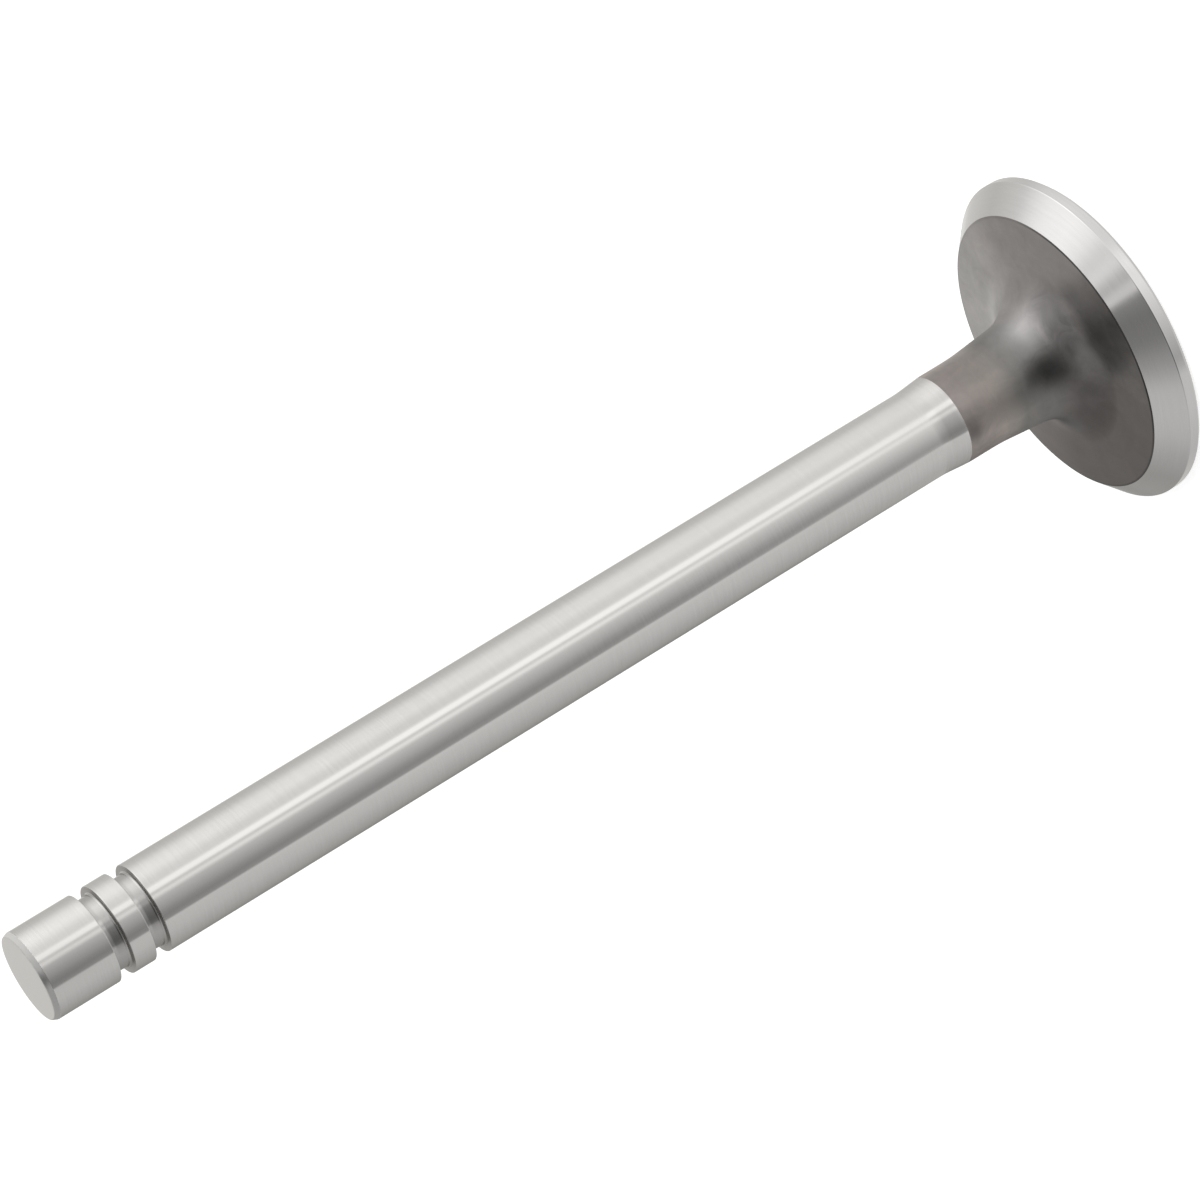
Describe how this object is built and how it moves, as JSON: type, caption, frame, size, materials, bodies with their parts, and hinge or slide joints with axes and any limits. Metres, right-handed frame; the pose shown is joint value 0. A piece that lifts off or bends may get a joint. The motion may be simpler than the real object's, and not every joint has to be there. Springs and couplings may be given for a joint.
{
  "type": "engine valve",
  "caption": "One-piece poppet valve: a ground stem with square keeper grooves near its tip, a flared dark neck, and a flat-backed head with a 45 degree seat.",
  "frame": {"origin": "centre of the combustion face, on which the valve stands", "axes": "+Z along the stem from the head to the tip; X and Y are alike, because the valve is round"},
  "size_m": [0.0306, 0.0306, 0.1086],
  "materials": {
    "valve_steel": "ground bright on the stem, tip, seat and margin; dark satin on the neck and the back of the head"
  },
  "bodies": {
    "root": {"valve": "valve_steel"}
  },
  "joints": []
}
